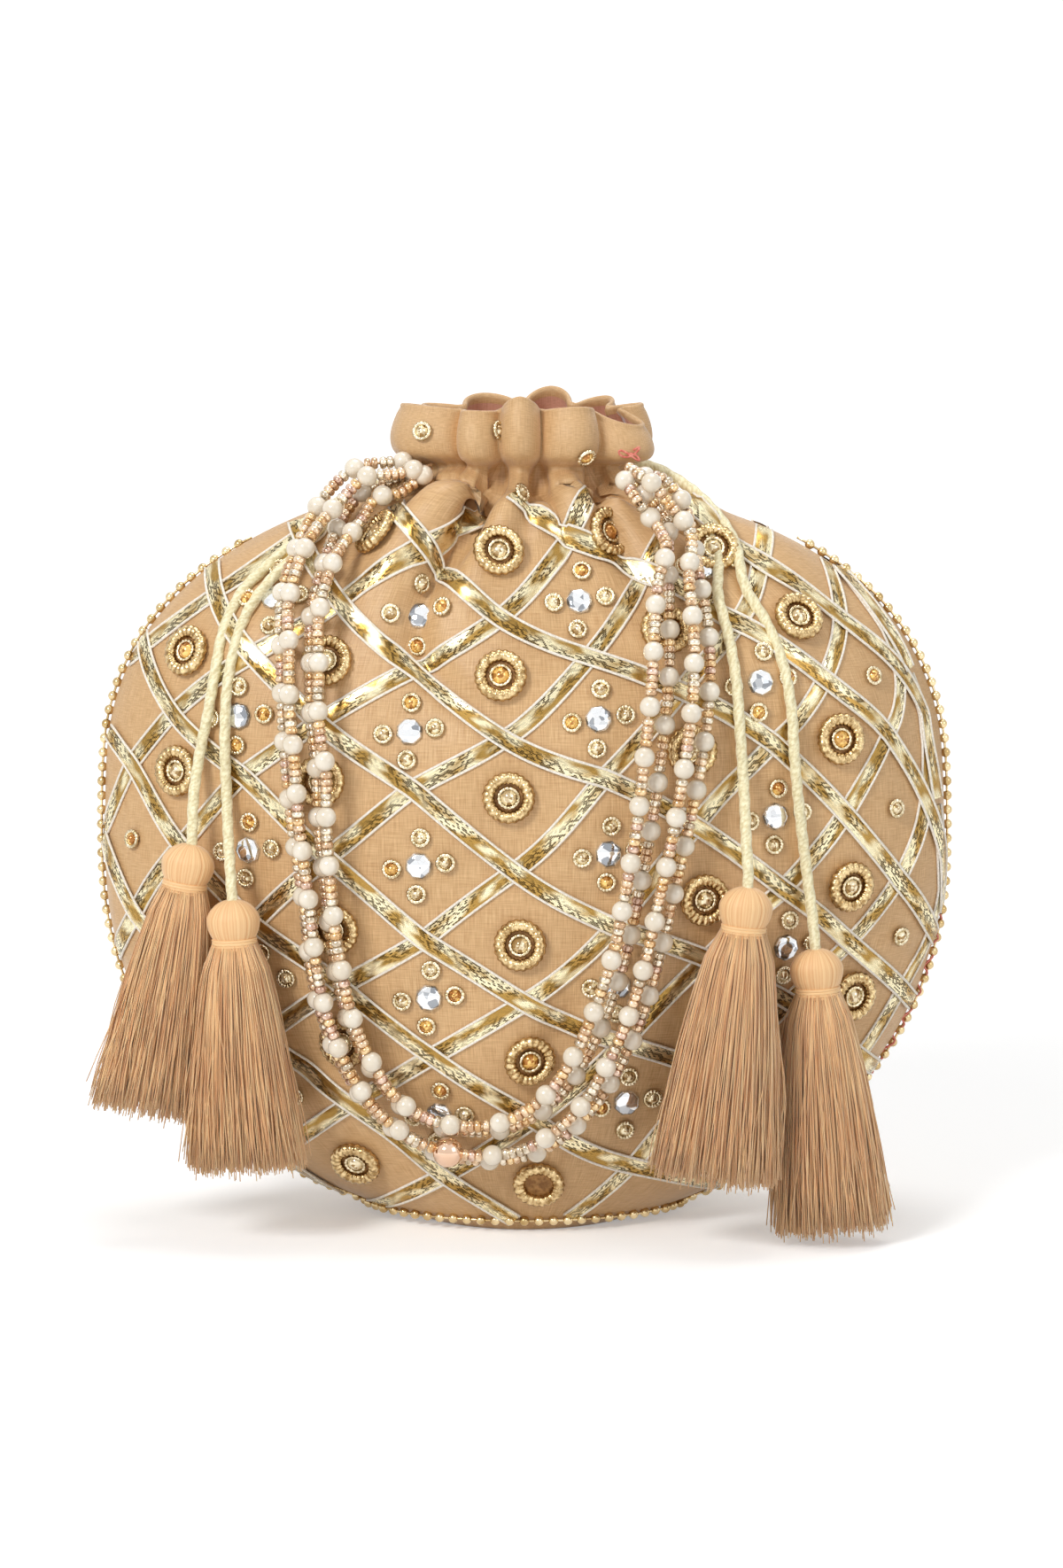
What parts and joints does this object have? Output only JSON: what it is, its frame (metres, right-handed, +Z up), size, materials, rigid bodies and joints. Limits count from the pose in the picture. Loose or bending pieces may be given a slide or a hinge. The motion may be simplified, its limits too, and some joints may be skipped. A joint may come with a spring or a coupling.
{
  "type": "potli bag",
  "caption": "Drawstring pouch bag in gold tissue cloth with a lattice of metallic ribbon, gathered neck, bead strand handle and corded tassels",
  "frame": {"origin": "middle of the bag in plan, on the level of the surface that it stands on", "axes": "+Z up through the gathered mouth, -Y to the face that carries the handle and tassels, +X to its right"},
  "size_m": [0.2556, 0.121, 0.243],
  "materials": {
    "tissue_fabric": "fine slub weave with a soft satin sheen",
    "lining_fabric": "plain matte lining cloth",
    "gilt": "polished rose gold plate",
    "metallic_ribbon": "woven metallic thread ribbon with corded edges",
    "antique_gold": "darkened cast gold plate with worn high spots",
    "cut_mirror": "silvered glass with cut facets",
    "pearl_and_bead": "ivory pearl lustre with clear champagne seed beads",
    "satin_cord": "round satin braided cord",
    "silk_thread": "straight rayon thread, soft sheen"
  },
  "bodies": {
    "bag": {"outer_bag": "tissue_fabric", "lining": "lining_fabric", "edge_ball_chain": "gilt", "front_ribbon_lattice": "metallic_ribbon", "back_ribbon_lattice": "metallic_ribbon", "front_medallion_01": "antique_gold", "front_medallion_02": "antique_gold", "front_medallion_03": "antique_gold", "front_medallion_04": "antique_gold", "front_medallion_05": "antique_gold", "front_medallion_06": "antique_gold", "front_medallion_07": "antique_gold", "front_medallion_08": "antique_gold", "front_medallion_09": "antique_gold", "front_medallion_10": "antique_gold", "front_medallion_11": "antique_gold", "front_medallion_12": "antique_gold", "front_medallion_13": "antique_gold", "front_medallion_14": "antique_gold", "front_medallion_15": "antique_gold", "front_medallion_16": "antique_gold", "front_medallion_17": "antique_gold", "front_medallion_18": "antique_gold", "front_medallion_19": "antique_gold", "front_medallion_20": "antique_gold", "front_medallion_21": "antique_gold", "front_medallion_22": "antique_gold", "front_medallion_23": "antique_gold", "front_medallion_24": "antique_gold", "front_mirror_01": "cut_mirror", "front_mirror_02": "cut_mirror", "front_mirror_03": "cut_mirror", "front_mirror_04": "cut_mirror", "front_mirror_05": "cut_mirror", "front_mirror_06": "cut_mirror", "front_mirror_07": "cut_mirror", "front_mirror_08": "cut_mirror", "front_mirror_09": "cut_mirror", "front_mirror_10": "cut_mirror", "front_mirror_11": "cut_mirror", "front_mirror_12": "cut_mirror", "front_mirror_13": "cut_mirror", "front_mirror_14": "cut_mirror", "front_mirror_15": "cut_mirror", "front_mirror_16": "cut_mirror", "front_mirror_17": "cut_mirror", "drawcord_left_outer": "satin_cord", "tassel_left_outer": "silk_thread", "drawcord_left_front": "satin_cord", "tassel_left_front": "silk_thread", "drawcord_right_inner": "satin_cord", "tassel_right_inner": "silk_thread", "drawcord_right_front": "satin_cord", "tassel_right_front": "silk_thread"},
    "handle": {"handle_strand_1": "pearl_and_bead", "handle_strand_2": "pearl_and_bead", "handle_strand_3": "pearl_and_bead", "handle_strand_4": "pearl_and_bead", "handle_ball": "gilt"}
  },
  "joints": [
    {"name": "handle_swing", "type": "hinge", "parent": "bag", "child": "handle", "pos_m": [-0.039, -0.012, 0.2265], "axis": [-0.9876, 0.1438, 0.0625], "range_deg": [0, 150]}
  ]
}
